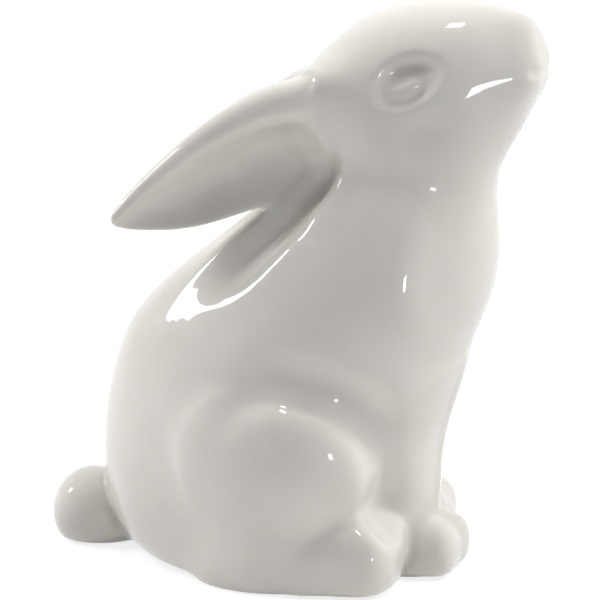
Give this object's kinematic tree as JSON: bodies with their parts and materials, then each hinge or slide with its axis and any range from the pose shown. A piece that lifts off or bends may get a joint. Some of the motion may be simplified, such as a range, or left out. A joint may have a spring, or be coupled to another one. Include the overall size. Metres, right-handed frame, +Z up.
{
  "type": "rabbit figurine",
  "caption": "Sitting ceramic rabbit ornament with a raised head, laid-back ears and a round tail, hollow cast and glazed white, for a shelf or table.",
  "frame": {"origin": "on the resting plane, under the middle of the body, on the plane of symmetry", "axes": "+X is the way the rabbit faces, +Y is its left side, +Z is up"},
  "size_m": [0.1072, 0.063, 0.1193],
  "materials": {
    "glaze": "glossy white glaze",
    "biscuit": "unglazed, matt"
  },
  "bodies": {
    "root": {"trunk_shell": "glaze", "head_shell": "glaze", "left_ear": "glaze", "right_ear": "glaze", "left_thigh": "glaze", "right_thigh": "glaze", "left_hind_foot": "glaze", "right_hind_foot": "glaze", "left_foreleg": "glaze", "right_foreleg": "glaze", "tail": "glaze", "base_slab": "biscuit"}
  },
  "joints": []
}
